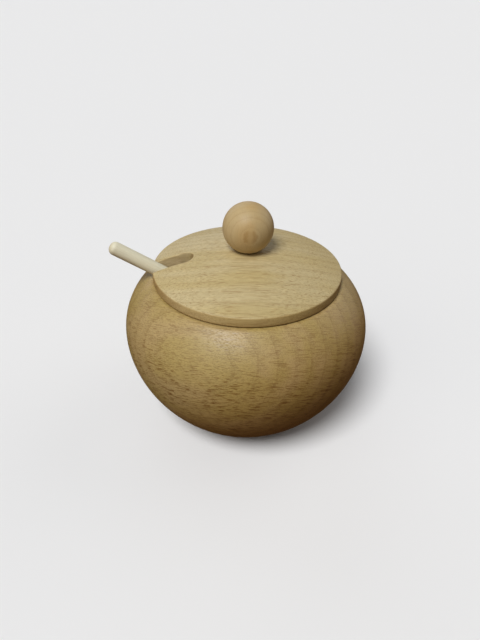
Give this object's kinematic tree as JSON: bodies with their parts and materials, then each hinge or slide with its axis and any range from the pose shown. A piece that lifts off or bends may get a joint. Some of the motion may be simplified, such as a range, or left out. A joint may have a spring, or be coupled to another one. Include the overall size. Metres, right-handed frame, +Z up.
{
  "type": "sugar bowl",
  "caption": "Round-bellied turned wooden sugar bowl with a domed lift-off lid, a ball knob, a notch in the lid and a stick-handled spoon.",
  "frame": {"origin": "middle of the flat foot, on the surface that the bowl stands on", "axes": "+Z up along the bowl's turning axis, -X towards the notch in the lid and the free end of the spoon"},
  "size_m": [0.1156, 0.112, 0.1062],
  "materials": {
    "bowl_wood": "bare sanded beech, matt with a faint sheen",
    "lid_wood": "bare sanded beech, matt",
    "knob_wood": "bare sanded beech, smooth",
    "dowel_wood": "bare dowel stock",
    "spoon_wood": "bare pale birch",
    "scoop_wood": "bare pale birch"
  },
  "bodies": {
    "bowl": {"bowl": "bowl_wood"},
    "lid": {"lid": "lid_wood", "knob": "knob_wood", "knob_dowel": "dowel_wood"},
    "spoon": {"spoon_handle": "spoon_wood", "spoon_scoop": "scoop_wood"}
  },
  "joints": [
    {"name": "lid_lift", "type": "slide", "parent": "bowl", "child": "lid", "axis": [0, 0, 1], "range_m": [0, 0.06]},
    {"name": "spoon_slide", "type": "slide", "parent": "bowl", "child": "spoon", "axis": [-0.848, 0, 0.5299], "range_m": [0, 0.05]}
  ]
}
